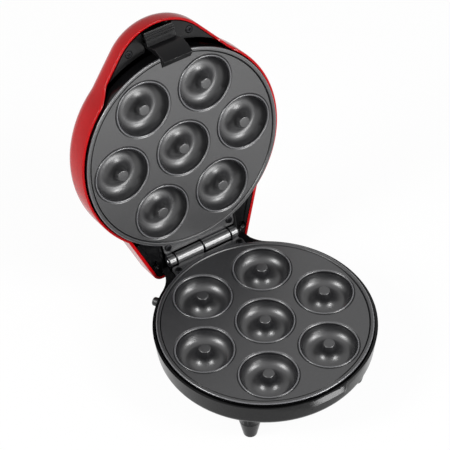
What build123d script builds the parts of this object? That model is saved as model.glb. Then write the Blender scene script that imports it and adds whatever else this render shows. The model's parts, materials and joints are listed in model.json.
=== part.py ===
from build123d import *
from math import cos, radians, sin, sqrt, tan
import os

os.makedirs("parts", exist_ok=True)

# A table-top maker for seven ring cakes, built closed around the base plate:
# x to the user's right, y to the hinge at the rear, z = 0 at the base's cooking face.
# Lid pieces are turned to the open rest position at the end.

# ---- driving sizes, mm and degrees ----
open_angle = 102.66  # lid at rest against its stop
plate_gap = 3.0  # between the cooking faces, lid shut
fit = 0.05  # running fit of a pin in its bore, on the radius
seat_gap = 0.1  # between faces that a screw pulls together
panel_gap = 0.4  # between a plastic edge and what it frames

# ring cavities
cavity_pitch_r = 64.0
cavity_count = 6
cavity_r = 25.6
cavity_depth = 12.5
cavity_wall = 2.6
trough_r = 16.8  # deepest circle
post_foot_r = 7.6
post_top_r = 5.7
post_rise = 1.4  # post top above the rim band
post_edge = 0.6
bead_width = 2.05
bead_slope = 0.5

# cooking plates
cavity_margin = 4.8  # from the outer cavities to the rim band
rim_slope = 1.6
rim_band = 4.1
rim_inner_r = cavity_pitch_r + cavity_r + cavity_margin
rim_top_r = rim_inner_r + rim_slope
plate_r = rim_inner_r + rim_band
plate_wall = 3.0
field_drop = 0.8  # field below the rim band
skirt_depth = 14.0
skirt_draft = 1.0
edge_round = 0.5

# bosses cast under a plate
boss_r = 4.5
boss_depth = 16.0
boss_pilot_depth = 9.0

# hinge cast on the plates
hinge_reach = 9.9  # axis behind the plate's edge
hinge_y = plate_r + hinge_reach
barrel_r = 5.5
pin_r = 2.0
knuckle_long = 28.0
knuckle_short = 7.0
knuckle_inner_gap = 1.5
knuckle_outer_gap = 1.25
lug_half_width = 38.0
lug_round = 4.0
lug_clearance = 0.9  # between a lug's edge and the other plate's barrel
lug_screw_x = 33.0
lug_screw_inset = 2.9
lug_screw_y = plate_r - lug_screw_inset
lug_recess = 1.4  # screw heads sunk into the lug
pin_end = 0.8  # pin past the outer ears

# base shell
base_wall = 2.4
rim_gap = 0.9  # dark gap around the base plate
rim_drop = 3.4  # base rim below the cooking face
base_side_draft = 6.8
base_corner_r = 9.0
base_bowl_slope = 21.0
base_floor_r = 60.0
base_floor_z = -42.0
fixing_seat_z = -30.0  # heads of the screws that hold the plate
facet_depth = 0.8  # front facet cut into the side
facet_half_angle = 32.8
catch_half_width = 13.8
catch_out = 3.8
catch_slope_drop = 3.1
catch_height = 4.0
catch_slot_height = 5.4

# hinge plinth on the base
well_depth = 3.6  # hinge well below the rim
cheek_half_width = 46.0
cheek_tip_half_width = 44.3
cheek_setback = 0.9  # corners in front of the hinge axis
cheek_y = hinge_y - cheek_setback
plinth_half_width = 37.3
plinth_draft = 14.0
plinth_rear_drop = 12.0
plinth_blend_x = 57.5
plinth_rise = 13.0  # underside above the base's floor
stop_gap = 0.35

# feet
foot_x = 56.7
foot_front_inset = 35.7
foot_front_y = foot_front_inset - plate_r
foot_rear_x = 38.0
foot_rear_inset = 25.4  # in front of the hinge axis
foot_rear_y = hinge_y - foot_rear_inset
foot_top_r = 10.2
foot_bottom_r = 6.2
foot_round = 1.3
foot_top_z = -37.0
foot_boss_top_z = -25.0
table_z = -57.0
foot_counterbore = 12.0
foot_socket_depth = 11.0

# cord gland
gland_angle = 125.0
gland_z = -20.0
gland_r = 4.2
gland_reach = 9.9  # bush past the base's side
gland_end_r = plate_r + rim_gap + base_wall + gland_reach
gland_collar = 1.6
gland_flange = 1.1
gland_inner = 6.6  # flange face inside the rim circle
gland_round = 2.0
cord_bore_r = 3.1

# lid shell
lid_wall = 2.4
lid_gap = 0.8  # around the lid plate
lid_r = plate_r + lid_gap + lid_wall
post_wall = 1.5  # around a screw in the lid
lip_depth = 3.5  # lip behind the lid's cooking face
lid_depth = 42.8
lid_shoulder = 18.0
lid_crown_r = 2600.0
bulge_r = 53.2
bulge_setback = 25.0  # its centre inside the plate's edge
bulge_y = bulge_setback - plate_r
bulge_side_angle = 50.5
bulge_blend_r = 30.0
bulge_lip_depth = 13.6
lip_ramp_start = 10.5
bulge_lip_y = bulge_y - lip_ramp_start
lip_ramp = 12.0
tail_flare_angle = 21.0
tail_reach = 19.2  # end behind the hinge axis
tail_rear_y = hinge_y + tail_reach
tail_rear_half_width = 49.0
tail_round = 9.0
tail_depth = 34.0
tail_shoulder = 7.0
bay_half_width = 38.6
bay_depth = 10.0  # roof of the hinge bay behind the lid's cooking face

# lid liner
liner_floor_depth = 12.8
liner_wall = 2.2
liner_opening_gap = 4.3  # around the lid plate
liner_opening_r = plate_r + liner_opening_gap
liner_wall_depth = 20.0
liner_screw_x = 31.0
liner_screw_reach = 33.0  # from the bulge's centre
liner_screw_y = bulge_y - liner_screw_reach

# hinge cover, the liner of the tail
cover_front_gap = 1.1  # around the lid plate
cover_front_r = plate_r + cover_front_gap
cover_root = 26.4  # from its front wall to the hinge axis
cover_root_y = hinge_y - cover_root
cover_rim_drop = 0.6  # its rim behind the lid's lip
cover_screw_x = 47.5
cover_screw_reach = 1.6  # behind the hinge axis
cover_screw_y = hinge_y + cover_screw_reach

# latch
latch_half_width = 14.5
latch_pivot_reach = 35.0  # from the bulge's centre
latch_pivot_y = bulge_y - latch_pivot_reach
latch_pivot_depth = 17.2
latch_pin_r = 1.5
latch_barrel_r = 3.0
latch_side_gap = 0.8
latch_ear_r = 3.8
latch_tab_reach = 13.5  # in front of the pivot
latch_tab_y = latch_pivot_y - latch_tab_reach
latch_tab_depth = 9.6
latch_tab_rise = 3.6
latch_tab_thick = 2.4
latch_crease_reach = 1.5
latch_crease_y = latch_pivot_y - latch_crease_reach
latch_front_reach = 4.2
latch_front_y = latch_pivot_y - latch_front_reach
latch_front_drop = 13.5
latch_hook_height = 8.0
latch_hook_reach = 7.9
latch_hook_tip = 1.6
latch_hook_slope = 0.8
latch_hook_gap = 0.8
latch_catch_gap = 1.7
ridge_count = 3
ridge_pitch = 2.2
ridge_r = 0.7
liner_recess = 1.2
latch_ear_width = 3.5
spring_bay = 9.0
spring_wire_r = 0.4
spring_turns = 5

# inside
element_tube_r = 3.25
element_ring_r = 47.2
element_gap_angle = 36.0
element_pin_r = 1.2
element_pin_length = 8.0
element_bend_r = 9.0
element_leg = 10.0
clamp_thick = 1.2
clamp_width = 9.0
thermostat_r = 7.0
thermostat_height = 7.0
thermostat_cap_height = 2.8
thermostat_body_r = 6.0
tab_length = 7.0
tab_width = 4.0
tab_thick = 0.8
fuse_r = 2.0
fuse_length = 14.0
fuse_round = 0.8
block_x = -28.0
block_y = 34.0
block_length = 26.0
block_width = 12.0
block_height = 9.0
block_round = 1.0
block_port_r = 2.2
reflector_depth = 25.0
reflector_r = 88.0
reflector_thick = 0.6
reflector_lip = 5.0
stand_r = 6.5
stand_neck_r = 4.0
vent_count = 12
vent_ring_r = 22.0
vent_width = 3.0
vent_length = 12.0
lamp_x = 10.0
lamp_y = -70.0
lamp_r = 3.2
lamp_rise = 1.0
lamp_flange = 1.2
lamp_post = 4.0
lamp_holder_height = 7.0
lamp_pad_drop = 6.0
lamp_pad_length = 40.0
lamp_pad_width = 12.0

# screws: radius of the shank, radius of the head, height of the head
small_screw = (1.7, 3.4, 1.8)
long_screw = (1.8, 3.6, 2.2)

# ---- worked out from the driving sizes ----
hinge_z = plate_gap / 2
hinge_axis = Axis((0, hinge_y, hinge_z), (1, 0, 0))
to_lid = Location((0, 0, plate_gap), (0, 180, 0))
field_z = -field_drop
under_field_z = field_z - plate_wall
boss_ring_r = cavity_pitch_r / sqrt(3)
fixing_angles = (90, 210, 330)
clamp_angles = (30, 150)
thermostat_angle = 270
lug_points = [(side * lug_screw_x, lug_screw_y) for side in (-1, 1)]
ear_start = knuckle_inner_gap / 2 + knuckle_long + knuckle_outer_gap
pin_half = ear_start + knuckle_short + pin_end
lug_edge_y = hinge_y - sqrt((barrel_r + lug_clearance) ** 2 - hinge_z**2)
lug_root_y = sqrt(plate_r**2 - lug_half_width**2) - plate_wall
rim_z = -rim_drop
base_rim_r = plate_r + rim_gap + base_wall
well_z = rim_z - well_depth
element_z = -(cavity_depth + cavity_wall + seat_gap + element_tube_r)
lid_face_z = plate_gap
lip_z = lid_face_z + lip_depth
bay_z = lid_face_z + bay_depth
liner_z = lid_face_z + liner_floor_depth
latch_pivot_z = lid_face_z + latch_pivot_depth
shell_top_z = lid_face_z + lid_depth


def polar(radius, angle):
    """Point on a circle about the plate's centre."""
    return (radius * cos(radians(angle)), radius * sin(radians(angle)))


fixing_points = [polar(boss_ring_r, angle) for angle in fixing_angles]

def make_screw(size, length):
    """Pan-head screw with a cross recess: the head's seat is at z = 0."""
    shank_r, head_r, head_h = size
    cross_length = 1.1 * head_r
    cross_width = 0.28 * head_r
    with BuildPart() as screw:
        with BuildSketch():
            Circle(shank_r)
        extrude(amount=-length)
        chamfer(screw.edges().sort_by(Axis.Z)[0], shank_r / 2)
        with BuildSketch():
            Circle(head_r)
        extrude(amount=head_h)
        fillet(screw.edges().sort_by(Axis.Z)[-1], head_h * 0.4)
        with BuildSketch(Plane.XY.offset(head_h)):
            Rectangle(cross_length, cross_width)
            Rectangle(cross_width, cross_length)
        extrude(amount=-head_h * 0.6, mode=Mode.SUBTRACT)
    return screw.part


# ---- one ring cavity, cut from the plate as a bowl with a post ----
with BuildPart() as cavity:
    with BuildSketch(Plane.XZ):
        trough_z = -cavity_depth
        bead_r = cavity_r + bead_width
        shell_r = bead_r + bead_slope
        shell_z = -plate_wall
        post_top = (post_top_r, post_rise)
        post_shoulder = (post_top_r + post_edge, post_rise - post_edge)
        post_inside_r = post_foot_r - cavity_wall
        post_inside_z = post_rise - plate_wall
        with BuildLine():
            Polyline(
                (0, post_inside_z), (0, post_rise), post_top, post_shoulder, (post_foot_r, field_z)
            )
            EllipticalCenterArc(
                (trough_r, field_z), trough_r - post_foot_r, cavity_depth - field_drop, 180
            )
            EllipticalCenterArc(
                (trough_r, field_z), cavity_r - trough_r, cavity_depth - field_drop, 270
            )
            Polyline(
                (cavity_r, field_z),
                (cavity_r + bead_slope, 0),
                (bead_r - bead_slope, 0),
                (bead_r, field_z),
                (shell_r, field_z),
                (shell_r, shell_z),
            )
            under_drop = cavity_depth + cavity_wall + shell_z
            EllipticalCenterArc((trough_r, shell_z), shell_r - trough_r, under_drop, 270)
            EllipticalCenterArc((trough_r, shell_z), trough_r - post_inside_r, under_drop, 180)
            Polyline(
                (post_inside_r, shell_z), (post_inside_r - bead_slope, post_inside_z), (0, post_inside_z)
            )
        make_face()
    revolve(axis=Axis.Z)

# ---- base plate: rim band, skirt, seven cavities, bosses and hinge knuckles ----
with BuildPart() as base_plate:
    with BuildSketch(Plane.XZ):
        with BuildLine():
            skirt_r = plate_r - skirt_draft
            Polyline(
                (0, field_z),
                (rim_inner_r, field_z),
                (rim_top_r, 0),
                (plate_r - edge_round, 0),
                (plate_r, -edge_round),
                (skirt_r, -skirt_depth),
                (skirt_r - plate_wall, -skirt_depth),
                (plate_r - plate_wall, under_field_z),
                (0, under_field_z),
                close=True,
            )
        make_face()
    revolve(axis=Axis.Z)
    with BuildSketch() as lug:
        with Locations((0, (lug_edge_y + lug_root_y) / 2)):
            Rectangle(2 * lug_half_width, lug_edge_y - lug_root_y)
        fillet(lug.vertices().group_by(Axis.Y)[-1], lug_round)
        Circle(plate_r - edge_round, mode=Mode.SUBTRACT)
    extrude(amount=-plate_wall)
    for start, length in ((-knuckle_inner_gap / 2 - knuckle_long, knuckle_long), (ear_start, knuckle_short)):
        with BuildSketch(Plane.YZ.offset(start)):
            with Locations((hinge_y, hinge_z)):
                Circle(barrel_r)
            with Locations(((lug_edge_y + hinge_y) / 2 - lug_round / 2, -plate_wall / 2)):
                Rectangle(hinge_y - lug_edge_y + lug_round, plate_wall)
        extrude(amount=length)
    with BuildSketch(Plane.YZ.offset(-lug_half_width)):
        with Locations((hinge_y, hinge_z)):
            Circle(pin_r + fit)
    extrude(amount=2 * lug_half_width, mode=Mode.SUBTRACT)
    with BuildSketch(Plane.XY.offset(field_z)):
        Circle(shell_r - bead_slope / 2)
        with PolarLocations(cavity_pitch_r, cavity_count):
            Circle(shell_r - bead_slope / 2)
    extrude(amount=-plate_wall, mode=Mode.SUBTRACT)
    add(cavity.part)
    with PolarLocations(cavity_pitch_r, cavity_count, rotate=False):
        add(cavity.part)
    with BuildSketch(Plane.XY.offset(-boss_depth)):
        with PolarLocations(boss_ring_r, cavity_count, start_angle=180 / cavity_count):
            Circle(boss_r)
    extrude(amount=boss_depth - plate_wall)
    with BuildSketch(Plane.XY.offset(-boss_depth)):
        with PolarLocations(boss_ring_r, cavity_count, start_angle=180 / cavity_count):
            Circle(long_screw[0] + fit)
    extrude(amount=boss_pilot_depth, mode=Mode.SUBTRACT)
    with Locations(*lug_points):
        CounterBoreHole(small_screw[0] + panel_gap, small_screw[1] + panel_gap, lug_recess)


# ---- base shell: bowl, front facet and catch, hinge plinth, stands ----
side_slope = tan(radians(base_side_draft))
bowl_slope = tan(radians(base_bowl_slope))
front_r = base_rim_r - facet_depth
facet_chord_y = base_rim_r * cos(radians(facet_half_angle))
facet_shift = (base_rim_r**2 - front_r**2) / (2 * (front_r - facet_chord_y))
stop_side = Vector(0, sin(radians(open_angle)), cos(radians(open_angle)))
stop_down = Vector(0, cos(radians(open_angle)), -sin(radians(open_angle)))


def stop_point(distance, z):
    """(y, z) of a point this far from the hinge on the lid's open side, at height z."""
    along = (hinge_z + distance * stop_side.Z - z) / -stop_down.Z
    return (hinge_y + distance * stop_side.Y + along * stop_down.Y, z)


def bowl_form(inset, top_z):
    """Solid of the base bowl, drawn in by a wall."""
    rim_r = base_rim_r - inset
    floor_z = base_floor_z + inset
    corner_r = (rim_r - side_slope * (rim_z - floor_z + bowl_slope * base_floor_r)) / (
        1 - side_slope * bowl_slope
    )
    corner_z = floor_z + (corner_r - base_floor_r) * bowl_slope
    top_r = rim_r + (top_z - rim_z) * side_slope
    with BuildPart() as bowl:
        with BuildSketch(Plane.XZ):
            with BuildLine():
                FilletPolyline(
                    (0, floor_z),
                    (base_floor_r, floor_z),
                    (corner_r, corner_z),
                    (top_r, top_z),
                    radius=base_corner_r - inset,
                )
                Polyline((top_r, top_z), (0, top_z), (0, floor_z))
            make_face()
        revolve(axis=Axis.Z)
    return bowl.part


def plinth_form(inset, top_z):
    """Solid of the hinge plinth behind the bowl, drawn in by a wall."""
    root_y = sqrt(base_rim_r**2 - plinth_blend_x**2)
    with BuildPart() as plinth:
        with BuildSketch(Plane.XY.offset(rim_z)):
            with BuildLine():
                blend = TangentArc(
                    (plinth_blend_x, root_y),
                    (cheek_half_width, base_rim_r - rim_drop),
                    tangent=(-root_y, plinth_blend_x),
                )
                Polyline(
                    blend @ 1,
                    (cheek_tip_half_width, cheek_y),
                    (plinth_half_width, cheek_y),
                    (plinth_half_width, hinge_y + 2 * barrel_r),
                    (0, hinge_y + 2 * barrel_r),
                )
                Line((0, root_y), blend @ 0)
                mirror(about=Plane.YZ)
            make_face()
            if inset:
                offset(amount=-inset)
        extrude(amount=base_floor_z - rim_z, taper=plinth_draft)
        with BuildSketch(Plane.YZ.offset(-plate_r)):
            stop = bay_z - hinge_z - stop_gap - inset
            under_z = base_floor_z + plinth_rise + inset
            with BuildLine():
                Polyline(
                    (root_y, top_z),
                    stop_point(stop, top_z),
                    stop_point(stop, rim_z - plinth_rear_drop + inset),
                    (base_rim_r - rim_drop, under_z),
                    (root_y, under_z),
                    close=True,
                )
            make_face()
        extrude(amount=2 * plate_r, mode=Mode.INTERSECT)
    return plinth.part


outer_bowl = bowl_form(0, rim_z)
inner_bowl = bowl_form(base_wall, 0)
outer_plinth = plinth_form(0, rim_z)
inner_plinth = plinth_form(base_wall, well_z - base_wall)


def stand(z_foot, z_neck, z_top):
    """Moulded post with a shoulder for the reflector, on its own axis."""
    with BuildPart() as post:
        with BuildSketch(Plane.XY.offset(z_foot)):
            Circle(stand_r)
        extrude(amount=z_neck - z_foot)
        with BuildSketch(Plane.XY.offset(z_neck)):
            Circle(stand_neck_r)
        extrude(amount=z_top - z_neck)
    return post.part


stand_top_z = -boss_depth - seat_gap
foot_points = {
    "foot_front_left": (-foot_x, foot_front_y),
    "foot_front_right": (foot_x, foot_front_y),
    "foot_rear_left": (-foot_rear_x, foot_rear_y),
    "foot_rear_right": (foot_rear_x, foot_rear_y),
}
gland_plane = Plane(
    origin=(*polar(base_rim_r, gland_angle), gland_z), x_dir=(0, 0, 1), z_dir=(*polar(1, gland_angle), 0)
)
catch_under_z = rim_z - catch_slope_drop - catch_height

with BuildPart() as base_shell:
    add(outer_bowl)
    add(outer_plinth)
    with BuildSketch(Plane.XY.offset(foot_top_z)):
        with Locations(*foot_points.values()):
            Circle(foot_top_r)
    extrude(amount=foot_boss_top_z - foot_top_z)
    # front facet
    with BuildSketch(Plane.XY.offset(rim_z)):
        with Locations((0, -facet_chord_y)):
            Rectangle(2 * base_rim_r, base_rim_r, align=(Align.CENTER, Align.MAX))
        with Locations((0, facet_shift)):
            Circle(front_r + facet_shift, mode=Mode.SUBTRACT)
    extrude(amount=-base_corner_r - facet_depth / side_slope, mode=Mode.SUBTRACT)
    # hinge well
    with BuildSketch(Plane.XY.offset(well_z)):
        with Locations((0, base_rim_r)):
            Rectangle(2 * bay_half_width, 2 * (hinge_y - base_rim_r + 3 * barrel_r))
        Circle(base_rim_r, mode=Mode.SUBTRACT)
    extrude(amount=-well_z, mode=Mode.SUBTRACT)
    # posts for the hinge lug screws
    with BuildSketch(Plane.XY.offset(-plate_wall - seat_gap)):
        with Locations(*lug_points):
            Circle(boss_r)
    extrude(amount=well_z - base_wall + plate_wall)
    add(inner_bowl, mode=Mode.SUBTRACT)
    add(inner_plinth, mode=Mode.SUBTRACT)
    # catch for the latch, with the slot under it
    with BuildSketch(Plane.YZ):
        with BuildLine():
            Polyline(
                (-front_r + base_wall / 2, rim_z),
                (-front_r, rim_z),
                (-front_r - catch_out, rim_z - catch_slope_drop),
                (-front_r - catch_out, catch_under_z),
                (-front_r + base_wall / 2, catch_under_z),
                close=True,
            )
        make_face()
    extrude(amount=catch_half_width, both=True)
    with BuildSketch(Plane.XZ.offset(front_r - 2 * base_wall)):
        with Locations((0, catch_under_z)):
            Rectangle(
                2 * (latch_half_width + latch_side_gap), catch_slot_height, align=(Align.CENTER, Align.MAX)
            )
    extrude(amount=4 * base_wall, mode=Mode.SUBTRACT)
    # stands, foot sockets and floor vents
    with Locations(*fixing_points):
        add(stand(base_floor_z + base_wall / 2, -reflector_depth, stand_top_z))
    with Locations(*[(x, y, foot_top_z) for x, y in foot_points.values()]):
        Cylinder(boss_r, foot_socket_depth, align=(Align.CENTER, Align.CENTER, Align.MIN))
        Hole(long_screw[0] + fit, foot_socket_depth - base_wall)
    with BuildSketch(Plane.XY.offset(base_floor_z)):
        with PolarLocations(vent_ring_r, vent_count, start_angle=180 / vent_count):
            SlotOverall(vent_length, vent_width)
    extrude(amount=2 * base_wall, mode=Mode.SUBTRACT)
    with BuildSketch(Plane.XY.offset(base_floor_z)):
        with Locations(*fixing_points):
            Circle(long_screw[1] + panel_gap)
    extrude(amount=fixing_seat_z - base_floor_z, mode=Mode.SUBTRACT)
    with BuildSketch(Plane.XY.offset(base_floor_z)):
        with Locations(*fixing_points):
            Circle(long_screw[0] + panel_gap)
    extrude(amount=stand_top_z - base_floor_z, mode=Mode.SUBTRACT)
    with BuildSketch(Plane.XY.offset(-plate_wall)):
        with Locations(*lug_points):
            Circle(small_screw[0] + fit)
    extrude(amount=-boss_pilot_depth, mode=Mode.SUBTRACT)
    with BuildSketch(gland_plane.offset(-4 * base_wall)):
        Circle(gland_r + fit)
    extrude(amount=8 * base_wall, mode=Mode.SUBTRACT)


# ---- lid shell: dome, front bulge and tail over the hinge ----
def bulge_outline(inset):
    """Plan of the front bulge, run back inside the lid's circle."""
    radius = bulge_r - inset
    side = Vector(*polar(1, bulge_side_angle))
    with BuildSketch() as outline:
        with BuildLine():
            nose = CenterArc((0, bulge_y), radius, -90 - bulge_side_angle, 2 * bulge_side_angle)
            right_end = nose @ 1 + side * bulge_r
            left_end = Vector(-right_end.X, right_end.Y)
            Polyline(nose @ 1, right_end, (0, bulge_y / 2), left_end, nose @ 0)
        make_face()
    return outline.sketch


def tail_form(inset):
    """Solid of the tail behind the lid's circle, drawn in by a wall."""
    rear_y = tail_rear_y - inset
    rear_x = tail_rear_half_width - inset
    root_x = rear_x + rear_y / 2 * tan(radians(tail_flare_angle))
    with BuildPart() as tail:
        with BuildSketch(Plane.XY.offset(lid_face_z)) as plan:
            with BuildLine():
                Polyline((root_x, rear_y / 2), (rear_x, rear_y), (-rear_x, rear_y), (-root_x, rear_y / 2))
                Line((-root_x, rear_y / 2), (root_x, rear_y / 2))
            make_face()
            fillet(plan.vertices().group_by(Axis.Y)[-1], tail_round - inset)
        extrude(amount=tail_depth - inset)
        fillet(tail.faces().sort_by(Axis.Z)[-1].edges().sort_by(Axis.Y)[1:], tail_shoulder - inset)
    return tail.part


def lid_form(inset):
    """Solid of the whole lid, drawn in by a wall."""
    with BuildPart() as form:
        with BuildSketch(Plane.XY.offset(lid_face_z)) as plan:
            Circle(lid_r - inset)
            add(bulge_outline(inset))
            fillet(plan.vertices().sort_by(Axis.Y)[2:4], bulge_blend_r)
        extrude(amount=shell_top_z - lid_face_z)
        with Locations((0, 0, shell_top_z - inset - lid_crown_r)):
            Sphere(lid_crown_r, mode=Mode.INTERSECT)
        fillet(form.faces().sort_by(Axis.Z)[-1].edges(), lid_shoulder - inset)
        add(tail_form(inset))
    return form.part


outer_lid = lid_form(0)
middle_lid = lid_form(lid_wall / 2)
inner_lid = lid_form(lid_wall)

liner_points = [(side * liner_screw_x, liner_screw_y) for side in (-1, 1)]
lamp_points = [(side * lamp_x, lamp_y) for side in (-1, 1)]
lamp_pad_z = shell_top_z - lamp_pad_drop
liner_post_r = small_screw[0] + fit + post_wall
bulge_lip_z = lid_face_z + bulge_lip_depth
lug_post_z = lid_face_z + plate_wall + seat_gap
cover_points = [(side * cover_screw_x, cover_screw_y) for side in (-1, 1)]

with BuildPart() as lid_fittings:
    for x, y in fixing_points:
        add(stand(-lid_depth, -reflector_depth, stand_top_z).moved(to_lid * Location((-x, y, 0))))
    with BuildSketch(Plane.XY.offset(liner_z + liner_wall + seat_gap)):
        with Locations(*liner_points):
            Circle(liner_post_r)
    extrude(amount=lid_depth)
    with BuildSketch(Plane.XY.offset(bay_z + liner_wall + seat_gap)):
        with Locations(*cover_points):
            Circle(liner_post_r)
    extrude(amount=lid_depth)
    with BuildSketch(Plane.XY.offset(lamp_pad_z)):
        with Locations((0, lamp_y)):
            RectangleRounded(lamp_pad_length, lamp_pad_width, lamp_r)
    extrude(amount=lamp_pad_drop)
    add(middle_lid, mode=Mode.INTERSECT)

with BuildPart() as lid_shell:
    add(outer_lid)
    add(inner_lid, mode=Mode.SUBTRACT)
    add(lid_fittings.part)
    # everything below the lip, which climbs along the front bulge
    with BuildSketch(Plane.YZ) as below_lip:
        with BuildLine():
            Polyline(
                (-2 * plate_r, 0),
                (-2 * plate_r, bulge_lip_z),
                (bulge_lip_y, bulge_lip_z),
                (bulge_lip_y + lip_ramp, lip_z),
                (2 * plate_r, lip_z),
                (2 * plate_r, 0),
                close=True,
            )
        make_face()
        fillet(below_lip.vertices().group_by(Axis.X)[1:3], lip_ramp / 2)
    extrude(amount=2 * plate_r, both=True, mode=Mode.SUBTRACT)
    with BuildSketch(Plane.XY.offset(lid_face_z)):
        with Locations((0, hinge_y)):
            Rectangle(2 * bay_half_width, tail_rear_y, align=(Align.CENTER, Align.MIN))
    extrude(amount=bay_depth, mode=Mode.SUBTRACT)
    with BuildSketch(Plane.XY.offset(bay_z)):
        with Locations(*cover_points):
            Circle(small_screw[0] + fit)
    extrude(amount=liner_wall + boss_pilot_depth, mode=Mode.SUBTRACT)
    with BuildSketch(Plane.XY.offset(liner_z)):
        with Locations(*liner_points):
            Circle(small_screw[0] + fit)
    extrude(amount=liner_wall + boss_pilot_depth, mode=Mode.SUBTRACT)
    with BuildSketch(Plane.XY.offset(lamp_pad_z)):
        with Locations(*lamp_points):
            Circle(lamp_r + seat_gap)
    extrude(amount=2 * lamp_pad_drop, mode=Mode.SUBTRACT)

# ---- lid plate: the same casting, turned over ----
with BuildPart() as lid_plate:
    add(base_plate.part.moved(to_lid))

# ---- liner: floor of the bulge, with the wall around the plate and the latch's ears ----
latch_side = latch_half_width + latch_side_gap
pivot = (latch_pivot_y, latch_pivot_z)
with BuildPart() as lid_liner:
    with BuildSketch(Plane.XY.offset(liner_z)):
        add(bulge_outline(lid_wall + panel_gap))
        Circle(liner_opening_r, mode=Mode.SUBTRACT)
    extrude(amount=liner_wall_depth)
    with BuildSketch(Plane.XY.offset(liner_z + liner_wall)):
        add(bulge_outline(lid_wall + panel_gap + liner_wall))
        with Locations(*liner_points):
            Circle(liner_post_r + panel_gap)
        Circle(liner_opening_r + liner_wall, mode=Mode.SUBTRACT)
    extrude(amount=liner_wall_depth, mode=Mode.SUBTRACT)
    add(lid_form(lid_wall + panel_gap), mode=Mode.INTERSECT)
    # ears for the latch pin
    with BuildSketch(Plane.YZ.offset(-latch_side - latch_ear_width)):
        with Locations(pivot):
            Circle(latch_ear_r)
            with Locations((0, -latch_ear_r)):
                Rectangle(2 * latch_ear_r, 2 * latch_ear_r)
    extrude(amount=2 * (latch_side + latch_ear_width))
    with BuildSketch(Plane.YZ.offset(-latch_side)):
        with Locations(pivot):
            Rectangle(4 * latch_ear_r, 4 * latch_ear_r)
    extrude(amount=2 * latch_side, mode=Mode.SUBTRACT)
    with BuildSketch(Plane.XY.offset(liner_z)):
        Rectangle(6 * latch_side, 6 * liner_opening_r)
    extrude(amount=-latch_ear_r * 2, mode=Mode.SUBTRACT)
    with BuildSketch(Plane.YZ.offset(-2 * latch_side)):
        with Locations(pivot):
            Circle(latch_pin_r + fit)
    extrude(amount=4 * latch_side, mode=Mode.SUBTRACT)
    # way through for the latch, open to the front
    with BuildSketch(Plane.XY.offset(liner_z)):
        with Locations((0, latch_pivot_y + latch_ear_r)):
            Rectangle(2 * latch_side, liner_opening_r, align=(Align.CENTER, Align.MAX))
    extrude(amount=2 * liner_wall, mode=Mode.SUBTRACT)
    with Locations(*[(x, y, liner_z) for x, y in liner_points]):
        with Locations(Location((0, 0, 0), (180, 0, 0))):
            CounterBoreHole(small_screw[0] + panel_gap, small_screw[1] + panel_gap, liner_recess)

# ---- hinge cover: tray in the tail, open over the hinge, with posts for the lug screws ----
with BuildPart() as cover_pockets:
    add(tail_form(lid_wall + panel_gap + liner_wall))
    with BuildSketch(Plane.XY.offset(lid_face_z)):
        Circle(cover_front_r + liner_wall)
        with Locations((0, cover_root_y)):
            Rectangle(4 * cover_screw_x, liner_wall, align=(Align.CENTER, Align.MIN))
            Rectangle(4 * cover_screw_x, cover_root_y, align=(Align.CENTER, Align.MAX))
            Rectangle(2 * (bay_half_width + liner_wall), tail_rear_y, align=(Align.CENTER, Align.MIN))
    extrude(amount=lid_depth, mode=Mode.SUBTRACT)

with BuildPart() as hinge_cover:
    with BuildSketch(Plane.XY.offset(lip_z + cover_rim_drop)):
        with Locations((0, cover_root_y)):
            Rectangle(4 * cover_screw_x, tail_rear_y, align=(Align.CENTER, Align.MIN))
        Circle(cover_front_r, mode=Mode.SUBTRACT)
    extrude(amount=bay_z + liner_wall - lip_z - cover_rim_drop)
    add(tail_form(lid_wall + panel_gap), mode=Mode.INTERSECT)
    add(cover_pockets.part.moved(Location((0, 0, bay_z - lid_face_z - tail_depth))), mode=Mode.SUBTRACT)
    with BuildSketch(Plane.XY.offset(lid_face_z)):
        Rectangle(2 * bay_half_width, 2 * tail_rear_y)
    extrude(amount=bay_depth, mode=Mode.SUBTRACT)
    with BuildSketch(Plane.XY.offset(lug_post_z)):
        with Locations(*lug_points):
            Circle(boss_r)
        Circle(cover_front_r, mode=Mode.SUBTRACT)
    extrude(amount=bay_z - lug_post_z)
    with BuildSketch(Plane.XY.offset(lug_post_z)):
        with Locations(*lug_points):
            Circle(small_screw[0] + fit)
    extrude(amount=boss_pilot_depth, mode=Mode.SUBTRACT)
    with Locations(*[(x, y, bay_z) for x, y in cover_points]):
        with Locations(Location((0, 0, 0), (180, 0, 0))):
            CounterBoreHole(small_screw[0] + panel_gap, small_screw[1] + panel_gap, liner_recess)

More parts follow.
